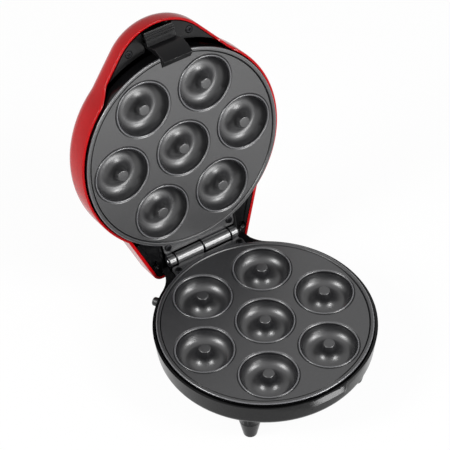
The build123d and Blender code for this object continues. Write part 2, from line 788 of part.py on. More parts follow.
# ---- latch: hook, panel and finger tab in one moulding, its pin and spring ----
latch_tab_z = lid_face_z + latch_tab_depth
tab_root_z = latch_tab_z - latch_tab_rise
inner_y = -front_r - catch_out - latch_catch_gap
hook_under_z = catch_under_z - latch_hook_gap
coil_r = latch_pin_r + 3 * spring_wire_r
coil_pitch = (spring_bay - 6 * spring_wire_r) / spring_turns
with BuildPart() as latch:
    with BuildSketch(Plane.YZ.offset(-latch_half_width)):
        with BuildLine():
            Polyline(
                (latch_tab_y, latch_tab_z),
                (latch_crease_y, tab_root_z),
                (latch_front_y, tab_root_z - latch_front_drop),
                (inner_y, hook_under_z - latch_hook_height),
                (inner_y + latch_hook_reach, hook_under_z - latch_hook_tip),
                (inner_y + latch_hook_reach, hook_under_z - latch_hook_slope),
                (inner_y, hook_under_z),
                (latch_pivot_y + latch_barrel_r * 0.4, tab_root_z),
                (latch_pivot_y + latch_barrel_r * 0.7, latch_pivot_z),
                (latch_pivot_y - latch_barrel_r * 0.7, latch_pivot_z),
                (latch_pivot_y - latch_barrel_r, tab_root_z + latch_tab_thick + latch_tab_rise / 3),
                (latch_tab_y + latch_tab_thick / 4, latch_tab_z + latch_tab_thick),
                close=True,
            )
        make_face()
        with Locations(pivot):
            Circle(latch_barrel_r)
        tab_slope = latch_tab_rise / (latch_crease_y - latch_tab_y)
        for step in range(ridge_count):
            ridge_y = latch_tab_y + ridge_pitch * (step + 0.75)
            with Locations((ridge_y, latch_tab_z - (ridge_y - latch_tab_y) * tab_slope)):
                Circle(ridge_r)
    extrude(amount=2 * latch_half_width)
    with BuildSketch(Plane.YZ.offset(-latch_half_width)):
        with Locations(pivot):
            Circle(latch_pin_r + fit)
    extrude(amount=2 * latch_half_width, mode=Mode.SUBTRACT)
    with BuildSketch(Plane.YZ.offset(-spring_bay / 2)):
        with Locations(pivot):
            Rectangle(4 * latch_barrel_r, 2 * (coil_r + 2 * spring_wire_r))
    extrude(amount=spring_bay, mode=Mode.SUBTRACT)

with BuildPart() as latch_pin:
    with BuildSketch(Plane.YZ.offset(-latch_side - latch_ear_width)):
        with Locations(pivot):
            Circle(latch_pin_r)
    extrude(amount=2 * (latch_side + latch_ear_width))
    chamfer(latch_pin.edges().filter_by(GeomType.CIRCLE), latch_pin_r * 0.25)

with BuildPart() as latch_spring:
    with BuildLine() as coil:
        coil_start = (-coil_pitch * spring_turns / 2, *pivot)
        Helix(coil_pitch, coil_pitch * spring_turns, coil_r, center=coil_start, direction=(1, 0, 0))
    with BuildSketch(Plane(origin=coil.line @ 0, z_dir=coil.line % 0)):
        Circle(spring_wire_r)
    sweep(is_frenet=True)

# ---- hinge pin ----
with BuildPart() as hinge_pin:
    with BuildSketch(Plane.YZ.offset(-pin_half)):
        with Locations((hinge_y, hinge_z)):
            Circle(pin_r)
    extrude(amount=2 * pin_half)
    chamfer(hinge_pin.edges().filter_by(GeomType.CIRCLE), pin_r * 0.25)

# ---- feet ----
foot_height = foot_top_z - table_z - seat_gap
with BuildPart() as foot:
    with BuildSketch(Plane.XZ):
        with BuildLine():
            Polyline((0, 0), (0, -foot_height), (foot_bottom_r, -foot_height), (foot_top_r, 0), close=True)
        make_face()
    revolve(axis=Axis.Z)
    fillet(foot.edges().sort_by(Axis.Z)[0], foot_round)
    with Locations(Location((0, 0, -foot_height), (180, 0, 0))):
        CounterBoreHole(long_screw[0] + panel_gap, long_screw[1] + panel_gap, foot_counterbore)

# ---- heating: tubular element, its straps and the reflector behind them ----
with BuildPart() as base_element:
    with BuildLine(Plane.XY.offset(element_z)) as element_path:
        ring = CenterArc((0, 0), element_ring_r, 90 + element_gap_angle / 2, 360 - element_gap_angle)
        turn = 90 - element_gap_angle / 2
        start_bend = JernArc(ring @ 0, ring % 0 * -1, element_bend_r, turn)
        end_bend = JernArc(ring @ 1, ring % 1, element_bend_r, -turn)
        Line(start_bend @ 1, start_bend @ 1 + Vector(0, element_leg))
        Line(end_bend @ 1, end_bend @ 1 + Vector(0, element_leg))
    leg_end = start_bend @ 1 + Vector(0, element_leg)
    with BuildSketch(Plane(origin=leg_end, z_dir=(0, -1, 0))):
        Circle(element_tube_r)
    sweep(path=element_path.wires()[0])
    with BuildSketch(Plane(origin=(0, leg_end.Y, element_z), x_dir=(1, 0, 0), z_dir=(0, 1, 0))):
        with Locations((leg_end.X, 0), (-leg_end.X, 0)):
            Circle(element_pin_r)
    extrude(amount=element_pin_length)

strap_top_z = -boss_depth - seat_gap
strap_drop_z = element_z - element_tube_r - seat_gap
strap_wall_r = element_ring_r - element_tube_r - panel_gap


def radial_plane(angle):
    """Plane with x outward from the plate's centre and y up."""
    return Plane(origin=(0, 0, 0), x_dir=(*polar(1, angle), 0), z_dir=(*polar(1, angle - 90), 0))


def strap_profile(angle):
    """Section of a strap from a boss to under the element."""
    with BuildSketch(radial_plane(angle).offset(-clamp_width / 2)) as section:
        with BuildLine():
            Polyline(
                (boss_ring_r - boss_r, strap_top_z),
                (strap_wall_r, strap_top_z),
                (strap_wall_r, strap_drop_z),
                (element_ring_r + element_tube_r + clamp_thick, strap_drop_z),
                (element_ring_r + element_tube_r + clamp_thick, strap_drop_z - clamp_thick),
                (strap_wall_r - clamp_thick, strap_drop_z - clamp_thick),
                (strap_wall_r - clamp_thick, strap_top_z - clamp_thick),
                (boss_ring_r - boss_r, strap_top_z - clamp_thick),
                close=True,
            )
        make_face()
    return section.sketch


def make_clamps(angles):
    """Element straps at these angles, each with its screw hole."""
    with BuildPart() as clamps:
        for angle in angles:
            add(extrude(strap_profile(angle), amount=clamp_width, mode=Mode.PRIVATE))
        with BuildSketch(Plane.XY.offset(strap_top_z)):
            with Locations(*[polar(boss_ring_r, angle) for angle in angles]):
                Circle(small_screw[0] + panel_gap)
        extrude(amount=-2 * clamp_thick, mode=Mode.SUBTRACT)
    return clamps.part


with BuildPart() as base_element_clamps:
    add(make_clamps(clamp_angles))

# the front strap also carries the thermostat, under the centre cavity
thermostat_top_z = -(cavity_depth + cavity_wall + seat_gap)
thermostat_under_z = thermostat_top_z - thermostat_height - seat_gap
with BuildPart() as thermostat_bracket:
    add(make_clamps([thermostat_angle]))
    arm_r = trough_r + thermostat_r + panel_gap
    with BuildSketch(radial_plane(thermostat_angle).offset(-clamp_width / 2)):
        with BuildLine():
            Polyline(
                (boss_ring_r - boss_r, strap_top_z),
                (arm_r, strap_top_z),
                (arm_r, thermostat_under_z),
                (trough_r - thermostat_r, thermostat_under_z),
                (trough_r - thermostat_r, thermostat_under_z - clamp_thick),
                (arm_r + clamp_thick, thermostat_under_z - clamp_thick),
                (arm_r + clamp_thick, strap_top_z - clamp_thick),
                (boss_ring_r - boss_r, strap_top_z - clamp_thick),
                close=True,
            )
        make_face()
    extrude(amount=clamp_width)

with BuildPart() as thermostat:
    with BuildSketch(Plane.XY.offset(thermostat_top_z)):
        with Locations(polar(trough_r, thermostat_angle)):
            Circle(thermostat_r)
    extrude(amount=-thermostat_cap_height)
    with BuildSketch(Plane.XY.offset(thermostat_top_z)):
        with Locations(polar(trough_r, thermostat_angle)):
            Circle(thermostat_body_r)
    extrude(amount=-thermostat_height)
    for side in (-1, 1):
        with BuildSketch(Plane.XY.offset(thermostat_top_z - thermostat_cap_height - tab_thick)):
            with Locations((side * (thermostat_body_r + tab_length / 2), -trough_r)):
                Rectangle(tab_length, tab_width)
        extrude(amount=-tab_thick)

with BuildPart() as thermal_fuse:
    fuse_z = strap_top_z - clamp_thick - seat_gap - fuse_r
    with BuildSketch(Plane.YZ.offset(-fuse_length / 2)):
        with Locations((-arm_r - clamp_thick - fuse_r - seat_gap, fuse_z)):
            Circle(fuse_r)
    extrude(amount=fuse_length)
    fillet(thermal_fuse.edges().filter_by(GeomType.CIRCLE), fuse_round)
    with BuildSketch(Plane.YZ.offset(-fuse_length / 2 - tab_length)):
        with Locations((-arm_r - clamp_thick - fuse_r - seat_gap, fuse_z)):
            Circle(tab_thick)
    extrude(amount=fuse_length + 2 * tab_length)

with BuildPart() as base_reflector:
    disc_z = -reflector_depth + seat_gap
    with BuildSketch(Plane.XY.offset(disc_z)):
        Circle(reflector_r)
    extrude(amount=reflector_lip)
    with BuildSketch(Plane.XY.offset(disc_z + reflector_thick)):
        Circle(reflector_r - reflector_thick)
    extrude(amount=reflector_lip, mode=Mode.SUBTRACT)
    with BuildSketch(Plane.XY.offset(disc_z)):
        with Locations(*fixing_points):
            Circle(stand_neck_r + panel_gap)
        with Locations((0, leg_end.Y + element_pin_length)):
            SlotOverall(4 * element_bend_r, element_bend_r)
    extrude(amount=reflector_thick, mode=Mode.SUBTRACT)

# ---- terminal block on the base's floor, and the cord gland ----
with BuildPart() as terminal_block:
    with BuildSketch(Plane.XY.offset(base_floor_z + base_wall + seat_gap)):
        with Locations((block_x, block_y)):
            Rectangle(block_length, block_width)
    extrude(amount=block_height)
    fillet(terminal_block.edges().filter_by(Axis.Z), block_round)
    with BuildSketch(Plane.XZ.offset(-block_y - block_width)):
        with Locations((block_x, base_floor_z + base_wall + block_height * 0.45)):
            with GridLocations(block_length / 2, 0, 2, 1):
                Circle(block_port_r)
    extrude(amount=2 * block_width, mode=Mode.SUBTRACT)

with BuildPart() as cord_gland:
    with BuildSketch(gland_plane.offset(-gland_inner)):
        Circle(gland_r)
    extrude(amount=gland_inner + gland_end_r - base_rim_r)
    fillet(cord_gland.faces().sort_by(Axis(gland_plane.origin, gland_plane.z_dir))[-1].edges(), gland_round)
    with BuildSketch(gland_plane.offset(-gland_inner)):
        Circle(gland_r + gland_flange)
    extrude(amount=-gland_collar)
    with BuildSketch(gland_plane.offset(-gland_inner - gland_collar)):
        Circle(cord_bore_r)
    extrude(amount=gland_inner + gland_collar + gland_end_r - base_rim_r, mode=Mode.SUBTRACT)

# ---- indicator lamps in the top of the lid ----
lamp_flange_z = lamp_pad_z - lamp_flange
lamp_top_z = shell_top_z - lamp_y**2 / (2 * lid_crown_r) + lamp_rise


def make_lens(point):
    """Stepped lens that pushes up through the lid."""
    with BuildPart() as lens:
        with BuildSketch(Plane.XY.offset(lamp_flange_z)):
            with Locations(point):
                Circle(lamp_r + lamp_flange)
        extrude(amount=lamp_flange)
        with BuildSketch(Plane.XY.offset(lamp_pad_z)):
            with Locations(point):
                Circle(lamp_r)
        extrude(amount=lamp_top_z - lamp_pad_z)
        fillet(lens.edges().sort_by(Axis.Z)[-1], lamp_rise)
    return lens.part


with BuildPart() as power_lens:
    add(make_lens(lamp_points[0]))
with BuildPart() as ready_lens:
    add(make_lens(lamp_points[1]))
with BuildPart() as lamp_holder:
    holder_half = lamp_x + lamp_r + lamp_flange + panel_gap + lamp_post
    with BuildSketch(Plane.XY.offset(lamp_pad_z)):
        with Locations((0, lamp_y)):
            Rectangle(2 * holder_half, lamp_pad_width - lamp_post)
    extrude(amount=-lamp_flange - lamp_holder_height)
    with BuildSketch(Plane.XY.offset(lamp_pad_z)):
        with Locations((0, lamp_y)):
            Rectangle(2 * (holder_half - lamp_post), lamp_pad_width)
    extrude(amount=-lamp_flange - seat_gap, mode=Mode.SUBTRACT)
    with BuildSketch(Plane.XY.offset(lamp_pad_z)):
        with Locations((0, lamp_y)):
            with GridLocations(2 * holder_half - lamp_post, 0, 2, 1):
                Circle(small_screw[0] / 2 + panel_gap)
    extrude(amount=-lamp_flange - lamp_holder_height, mode=Mode.SUBTRACT)

# ---- fasteners, one node for each set ----
lug_screw = make_screw(small_screw, boss_pilot_depth - lug_recess)
with BuildPart() as base_lug_screws:
    with Locations(*[(x, y, -lug_recess) for x, y in lug_points]):
        add(lug_screw)
with BuildPart() as lid_lug_screws:
    add(base_lug_screws.part.moved(to_lid))

clamp_screw = make_screw(small_screw, boss_pilot_depth - plate_wall)
clamp_seat_z = strap_top_z - clamp_thick
with BuildPart() as base_clamp_screws:
    for angle in (*clamp_angles, thermostat_angle):
        add(clamp_screw.moved(Location((*polar(boss_ring_r, angle), clamp_seat_z), (180, 0, 0))))
with BuildPart() as lid_clamp_screws:
    add(base_clamp_screws.part.moved(to_lid))

fixing_screw = make_screw(long_screw, -fixing_seat_z - boss_depth + boss_pilot_depth - plate_wall)
with BuildPart() as base_fixing_screws:
    for x, y in fixing_points:
        add(fixing_screw.moved(Location((x, y, fixing_seat_z), (180, 0, 0))))

foot_screw = make_screw(long_screw, foot_height - foot_counterbore + foot_socket_depth - 2 * base_wall)
with BuildPart() as foot_screws:
    for x, y in foot_points.values():
        add(foot_screw.moved(Location((x, y, table_z + foot_counterbore), (180, 0, 0))))

liner_screw = make_screw(small_screw, liner_wall + boss_pilot_depth - liner_recess)
with BuildPart() as liner_fixing_screws:
    for x, y in liner_points:
        add(liner_screw.moved(Location((x, y, liner_z + liner_recess), (180, 0, 0))))
with BuildPart() as cover_screws:
    for x, y in cover_points:
        add(liner_screw.moved(Location((x, y, bay_z + liner_recess), (180, 0, 0))))

# ---- hand the pieces over: lid turned open, origin under the middle of the whole ----
base_body = {
    "base_shell": base_shell.part,
    "base_plate": base_plate.part,
    "base_element": base_element.part,
    "base_element_clamps": base_element_clamps.part,
    "thermostat_bracket": thermostat_bracket.part,
    "thermostat": thermostat.part,
    "thermal_fuse": thermal_fuse.part,
    "base_reflector": base_reflector.part,
    "terminal_block": terminal_block.part,
    "cord_gland": cord_gland.part,
    "hinge_pin": hinge_pin.part,
    "base_lug_screws": base_lug_screws.part,
    "base_clamp_screws": base_clamp_screws.part,
    "base_fixing_screws": base_fixing_screws.part,
    "foot_screws": foot_screws.part,
}
for name, (x, y) in foot_points.items():
    base_body[name] = foot.part.moved(Location((x, y, foot_top_z - seat_gap)))
lid_body = {
    "lid_shell": lid_shell.part,
    "lid_plate": lid_plate.part,
    "lid_liner": lid_liner.part,
    "lid_element": base_element.part.moved(to_lid),
    "lid_element_clamps": make_clamps((*clamp_angles, thermostat_angle)).moved(to_lid),
    "lid_reflector": base_reflector.part.moved(to_lid),
    "lid_lug_screws": lid_lug_screws.part,
    "lid_clamp_screws": lid_clamp_screws.part,
    "liner_screws": liner_fixing_screws.part,
    "hinge_cover": hinge_cover.part,
    "cover_screws": cover_screws.part,
    "latch_pin": latch_pin.part,
    "latch_spring": latch_spring.part,
    "power_lens": power_lens.part,
    "ready_lens": ready_lens.part,
    "lamp_holder": lamp_holder.part,
    "latch": latch.part,
}
pieces = dict(base_body)
for name, piece in lid_body.items():
    pieces[name] = piece.rotate(hinge_axis, -open_angle)
box = Compound(list(pieces.values())).bounding_box()
origin = Location((-box.center().X, -box.center().Y, -box.min.Z))
for name, piece in pieces.items():
    placed = piece.moved(origin)
    placed.label = name
    export_step(placed, f"parts/{name}.step")
print("hinge at y", hinge_y - box.center().Y, "z", hinge_z - box.min.Z)
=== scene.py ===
import bmesh
import bpy
import json
from math import cos, pi, radians, sin
from mathutils import Matrix, Vector
from mathutils.bvhtree import BVHTree


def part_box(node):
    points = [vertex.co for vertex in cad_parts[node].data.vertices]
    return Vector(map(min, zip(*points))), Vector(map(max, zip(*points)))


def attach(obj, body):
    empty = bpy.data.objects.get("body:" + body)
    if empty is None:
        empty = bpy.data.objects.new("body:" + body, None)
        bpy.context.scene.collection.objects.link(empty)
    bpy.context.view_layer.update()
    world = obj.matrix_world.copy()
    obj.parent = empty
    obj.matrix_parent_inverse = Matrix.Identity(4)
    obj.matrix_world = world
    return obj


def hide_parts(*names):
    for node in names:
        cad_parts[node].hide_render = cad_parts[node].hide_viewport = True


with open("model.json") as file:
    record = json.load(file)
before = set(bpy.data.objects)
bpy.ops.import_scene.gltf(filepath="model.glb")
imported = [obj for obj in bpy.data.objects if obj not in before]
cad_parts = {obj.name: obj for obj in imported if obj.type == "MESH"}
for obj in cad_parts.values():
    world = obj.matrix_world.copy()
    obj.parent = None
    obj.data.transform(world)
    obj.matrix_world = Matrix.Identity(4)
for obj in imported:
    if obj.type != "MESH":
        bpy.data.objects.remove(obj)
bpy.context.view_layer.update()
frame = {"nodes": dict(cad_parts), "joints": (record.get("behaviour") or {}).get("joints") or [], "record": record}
print("frame loaded:", len(frame["nodes"]), "nodes")

# Pieces are drawn in millimetres, as they lie with the lid shut: x to the right, y to the
# hinge, z = 0 at the base's cooking face, and the plate's middle at x = y = 0.
mm = 0.001
plateGap = 3  # between the cooking faces
joints = {joint["name"]: joint for joint in frame["joints"]}
hingePos = Vector(joints["lid_hinge"]["pos_m"])
openAngle = radians(joints["lid_hinge"]["range_deg"][1])
plateLow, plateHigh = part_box("base_plate")
plateR = (plateHigh.x - plateLow.x) / 2 / mm
plateCentre = Vector((0, plateLow.y + plateR * mm, hingePos.z - plateGap / 2 * mm))
hingeY = (hingePos.y - plateCentre.y) / mm
hingeZ = plateGap / 2

basePlace = Matrix.Translation(plateCentre) @ Matrix.Scale(mm, 4)
swingOpen = Matrix.Translation(hingePos) @ Matrix.Rotation(-openAngle, 4, "X") @ Matrix.Translation(-hingePos)
lidPlace = swingOpen @ basePlace
toBase = basePlace.inverted()
toLid = lidPlace.inverted()
lidTurn = toLid.to_3x3().normalized()
# base casting to lid casting
turnOver = Matrix.Translation((0, 0, plateGap)) @ Matrix.Rotation(pi, 4, "Y")
mergeMm = 0.001  # millimetres; points this close become one


# materials
def linear(hexColour):
    channels = [int(hexColour[i : i + 2], 16) / 255 for i in (1, 3, 5)]
    return [c / 12.92 if c <= 0.04045 else ((c + 0.055) / 1.055) ** 2.4 for c in channels] + [1]


def addNode(tree, kind, settings={}, values={}, links={}):
    node = tree.nodes.new("ShaderNode" + kind)
    for name, value in settings.items():
        setattr(node, name, value)
    for name, value in values.items():
        node.inputs[name].default_value = value
    for name, socket in links.items():
        tree.links.new(socket, node.inputs[name])
    return node


def newMaterial(name, values):
    material = bpy.data.materials.new(name)
    material.use_nodes = True
    tree = material.node_tree
    shader = tree.nodes["Principled BSDF"]
    for socket, value in values.items():
        shader.inputs[socket].default_value = value
    place = addNode(tree, "TexCoord").outputs["Object"]
    return material, tree, shader, place


# noise whose lumps are about this many millimetres across
def noiseAt(tree, place, sizeMm, detail=2):
    values = {"Scale": 1 / (sizeMm * mm), "Detail": detail}
    return addNode(tree, "TexNoise", values=values, links={"Vector": place})


noiseSpan = (0.3, 0.7)  # where most of the noise's values lie
fleckSpan = (0.55, 0.75)  # its upper end, for scattered flecks


# a number that runs from low to high with the noise
def between(tree, factor, low, high, span=noiseSpan):
    values = {"From Min": span[0], "From Max": span[1], "To Min": low, "To Max": high}
    return addNode(tree, "MapRange", values=values, links={"Value": factor}).outputs["Result"]


# a colour that runs between two hex colours
def tint(tree, factor, dark, light):
    mix = addNode(tree, "Mix", {"data_type": "RGBA"}, links={"Factor": factor})
    mix.inputs[6].default_value = linear(dark)
    mix.inputs[7].default_value = linear(light)
    return mix.outputs[2]


def bumpFrom(tree, height, depthMm):
    values = {"Distance": depthMm * mm, "Strength": 1}
    return addNode(tree, "Bump", values=values, links={"Height": height}).outputs["Normal"]


patchMm = 30  # patches of slightly different colour and gloss


# plastic or glaze: fine grain in the bump, slow drift in colour and gloss
def surfaced(name, colours, grainMm, grainDepth, rough, values):
    material, tree, shader, place = newMaterial(name, values)
    patches = noiseAt(tree, place, patchMm).outputs["Fac"]
    grain = noiseAt(tree, place, grainMm, 3).outputs["Fac"]
    tree.links.new(tint(tree, between(tree, patches, 0, 1), *colours), shader.inputs["Base Color"])
    tree.links.new(between(tree, patches, *rough), shader.inputs["Roughness"])
    tree.links.new(bumpFrom(tree, grain, grainDepth), shader.inputs["Normal"])
    return material


# PTFE coating sprayed on die-cast aluminium: charcoal, satin, with pale mineral flecks
def nonstick(name, c):
    material, tree, shader, place = newMaterial(name, {"IOR": c["ior"]})
    flecks = noiseAt(tree, place, c["fleckMm"], 1).outputs["Fac"]
    fleckMask = between(tree, flecks, 0, 1, fleckSpan)
    spray = noiseAt(tree, place, c["sprayMm"], 3).outputs["Fac"]
    tree.links.new(tint(tree, fleckMask, *c["colours"]), shader.inputs["Base Color"])
    tree.links.new(between(tree, spray, *c["rough"]), shader.inputs["Roughness"])
    tree.links.new(bumpFrom(tree, spray, c["sprayDepth"]), shader.inputs["Normal"])
    return material


drawing = {"stretch": (0.05, 1, 1), "depthMm": 0.01}


# drawn or rolled metal: fine lines along one way
def brushedMetal(name, colour, rough, lineMm=0.4):
    material, tree, shader, place = newMaterial(name, {"Metallic": 1})
    scale = {"Scale": drawing["stretch"]}
    stretch = addNode(tree, "Mapping", values=scale, links={"Vector": place}).outputs["Vector"]
    lines = noiseAt(tree, stretch, lineMm, 3).outputs["Fac"]
    tree.links.new(tint(tree, between(tree, lines, 0, 1), *colour), shader.inputs["Base Color"])
    tree.links.new(between(tree, lines, *rough), shader.inputs["Roughness"])
    tree.links.new(bumpFrom(tree, lines, drawing["depthMm"]), shader.inputs["Normal"])
    return material


acrylic = {"Transmission Weight": 0.6, "IOR": 1.5, "Roughness": 0.12}
facets = {"sizeMm": 1.2, "depthMm": 0.05}


# moulded clear lens over a lamp, tinted through
def lensGlass(name, colour):
    material, tree, shader, place = newMaterial(name, acrylic)
    ribs = noiseAt(tree, place, facets["sizeMm"], 1).outputs["Fac"]
    tree.links.new(tint(tree, between(tree, ribs, 0, 1), *colour), shader.inputs["Base Color"])
    tree.links.new(bumpFrom(tree, ribs, facets["depthMm"]), shader.inputs["Normal"])
    return material


coating = {
    "colours": ("#111113", "#2b2b2e"),
    "fleckMm": 0.6,
    "sprayMm": 0.6,
    "sprayDepth": 0.03,
    "rough": (0.33, 0.39),
    "ior": 1.8,
}
# edges of the coating: smoother, and paler as a painted highlight line
rubbedWithPaintedSheen = {"colours": ("#4a4a4d", "#5e5e62"), "rough": (0.2, 0.26), "ior": 1.9}
paintedSheenCoating = nonstick("ptfeEdgePaintedSheen", coating | rubbedWithPaintedSheen)
# the same coating on the machined knuckles: a tighter shine
onBar = {"rough": (0.26, 0.32), "ior": 1.95, "sprayDepth": 0.01}
burnishedBar = nonstick("ptfeOnTurnedBar", coating | onBar)
redTones = ("#a4060b", "#ad0a0f")
blackTones = ("#080809", "#0d0d0e")
satinTones = ("#0a0a0b", "#101011")
paintedSheenTones = ("#161617", "#1c1c1d")


# how plastic mirrors: its index, and how much of that shine it keeps
def shine(index, level):
    return {"IOR": index, "Specular IOR Level": level}


finishes = {
    "coated_aluminium": nonstick("ptfeCoatedAluminium", coating),
    # high-gloss ABS: deep red, mirror-like with the faint waviness of a moulding
    "red_plastic": surfaced("glossAbsRed", redTones, 9, 0.002, (0.12, 0.18), shine(1.53, 0.16)),
    # glass-filled PBT, polished mould: black with a soft mirror
    "black_plastic": surfaced("pbtBlack", blackTones, 6, 0.005, (0.16, 0.22), shine(1.52, 0.16)),
    # PA66 from an eroded mould: black, finely grained, satin
    "latch_plastic": surfaced("nylonBlackSatin", satinTones, 0.5, 0.01, (0.3, 0.38), shine(1.53, 0.1)),
    # pins and springs of drawn wire: bright, with fine lines
    "bright_metal": brushedMetal("drawnSteel", ("#b4b5b7", "#d0d1d2"), (0.2, 0.3)),
    # screws and straps with a thin zinc plating: a little greyer and duller
    "zinc_steel": brushedMetal("zincPlatedSteel", ("#9b9ea2", "#c2c4c6"), (0.25, 0.4)),
    # screws with a black oxide finish: near black, with faint lines
    "black_steel": brushedMetal("blackOxideSteel", ("#1c1c1d", "#2e2e30"), (0.3, 0.4)),
    # tube of the element, browned by heat
    "element_steel": brushedMetal("heatStainedSteel", ("#4d4842", "#7a746c"), (0.35, 0.5)),
    # pressed pans of rolled sheet: pale, with wider lines
    "aluminium_sheet": brushedMetal("rolledAluminium", ("#c4c6c8", "#dcdddd"), (0.25, 0.35), 0.8),
    # glazed steatite: off-white, wet-looking
    "ceramic": surfaced("glazedSteatite", ("#e4dfd2", "#efebe0"), 2, 0.02, (0.2, 0.3), {"IOR": 1.5}),
    # phenolic moulding: dark brown, matt
    "bakelite": surfaced("phenolicBrown", ("#241b16", "#32261f"), 0.8, 0.03, (0.4, 0.5), {"IOR": 1.6}),
    # rubber bush: matt black, fine grain
    "soft_black": surfaced("neopreneBlack", ("#0f0f10", "#171718"), 0.8, 0.04, (0.3, 0.4), {"IOR": 1.5}),
    # clear acrylic, tinted through
    "red_lens": lensGlass("acrylicRed", ("#d8201a", "#f03a2a")),
    "green_lens": lensGlass("acrylicGreen", ("#1f8237", "#38ab50")),
}
# facet of the catch: black with a stronger, softer glare than the shell
polishedBlack = surfaced("pbtPolishedFacet", blackTones, 6, 0.002, (0.24, 0.3), shine(1.52, 0.36))
# liner of the lid: the shell's black, a little glossier
linerBlack = surfaced("pbtLinerGloss", blackTones, 6, 0.004, (0.16, 0.22), shine(1.52, 0.3))
# moulded edges: glossier, and paler than the body as a painted highlight line
glossEdgeSheen = {
    "black_plastic": surfaced("pbtEdgePaintedSheen", paintedSheenTones, 6, 0.002, (0.14, 0.2), {"IOR": 1.75}),
    "latch_plastic": surfaced("nylonEdgePaintedSheen", paintedSheenTones, 6, 0.002, (0.26, 0.34), {"IOR": 1.65}),
}
# every node gets its finish; pieces below replace some of them
for entry in frame["record"]["subparts"]:
    node = frame["nodes"][entry["node"]]
    node.data.materials.clear()
    node.data.materials.append(finishes[entry["material_slot"]])
print("materials made:", len(finishes))


# joins points (x, z) of a section by edges and gives its vertices
def drawLine(bm, points):
    verts = [bm.verts.new((x, 0, z)) for x, z in points]
    for start, end in zip(verts, verts[1:]):
        bm.edges.new((start, end))
    return verts


roundSteps = 3


# rounds corners of a section
def roundOff(bm, verts, radius):
    bmesh.ops.bevel(
        bm,
        geom=verts,
        offset=radius,
        offset_type="OFFSET",
        segments=roundSteps,
        profile=0.5,
        affect="VERTICES",
        material=-1,
    )


# rounds edges, and gives them the finish at a place in the piece's list
def roundEdges(bm, edges, radius, finish, steps=2, clamp=False):
    rounded = bmesh.ops.bevel(
        bm,
        geom=edges,
        offset=radius,
        offset_type="OFFSET",
        segments=steps,
        profile=0.5,
        affect="EDGES",
        clamp_overlap=clamp,
        material=-1,
    )
    for face in rounded["faces"]:
        face.material_index = finish


# spins a section all the way round a line through the origin
def spinAll(bm, steps, axis=(0, 0, 1)):
    geom = bm.verts[:] + bm.edges[:]
    bmesh.ops.spin(bm, geom=geom, cent=(0, 0, 0), axis=axis, angle=2 * pi, steps=steps, use_merge=True)
    bmesh.ops.remove_doubles(bm, verts=bm.verts, dist=mergeMm)


# adds copies of a finished mesh at each place
def mergeInto(bm, other, places=(Matrix(),)):
    mesh = bpy.data.meshes.new("part")
    other.to_mesh(mesh)
    for place in places:
        copy = mesh.copy()
        copy.transform(place)
        bm.from_mesh(copy)
        bpy.data.meshes.remove(copy)
    bpy.data.meshes.remove(mesh)


# turns a mesh drawn in millimetres into a piece in its place
def makePiece(name, bm, place, body, slot, replaced=(), sharp=40, extra=()):
    bmesh.ops.transform(bm, matrix=place, verts=bm.verts)
    bmesh.ops.recalc_face_normals(bm, faces=bm.faces)
    mesh = bpy.data.meshes.new(name)
    bm.to_mesh(mesh)
    bm.free()
    mesh.shade_smooth()
    mesh.set_sharp_from_angle(angle=radians(sharp))
    for finish in (finishes[slot], *extra):
        mesh.materials.append(finish)
    piece = bpy.data.objects.new(name, mesh)
    bpy.context.scene.collection.objects.link(piece)
    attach(piece, body)
    if replaced:
        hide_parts(*replaced)
    return piece


# keeps flat faces flat beside rounded edges
def weighNormals(piece):
    modifier = piece.modifiers.new("faceWeight", "WEIGHTED_NORMAL")
    modifier.keep_sharp = True
    modifier.mode = "FACE_AREA_WITH_ANGLE"
    return piece


# cooking plates: one casting, used twice
casting = {
    "fieldDrop": 0.8,  # field below the rim band
    "rimInner": 94.7,
    "rimTop": 95.3,
    "stepRound": 0.35,
    "rimRound": 1,
    "skirtDepth": 14,
    "skirtDraft": 1,
    "wall": 2.6,
    "pitchR": 64,  # circle of the outer rings
    "ringCount": 6,
    "cavityR": 25.6,
    "cavityDepth": 12.5,
    "troughR": 16.4,  # deepest circle
    "flareHeight": 9,
    "postFootR": 6.2,
    "postTopR": 5.2,
    "postRise": 1.4,
    "postRound": 0.7,
    "beadWidth": 2.05,
    "beadSlope": 0.55,
    "beadRound": 0.3,
    "grooveWidth": 0.8,  # outside the bead
    "grooveDepth": 0.5,
    "segments": 96,
    "seam": 0.01,  # widest gap closed between field, cavities and rim
    "sharp": 32,  # degrees
}


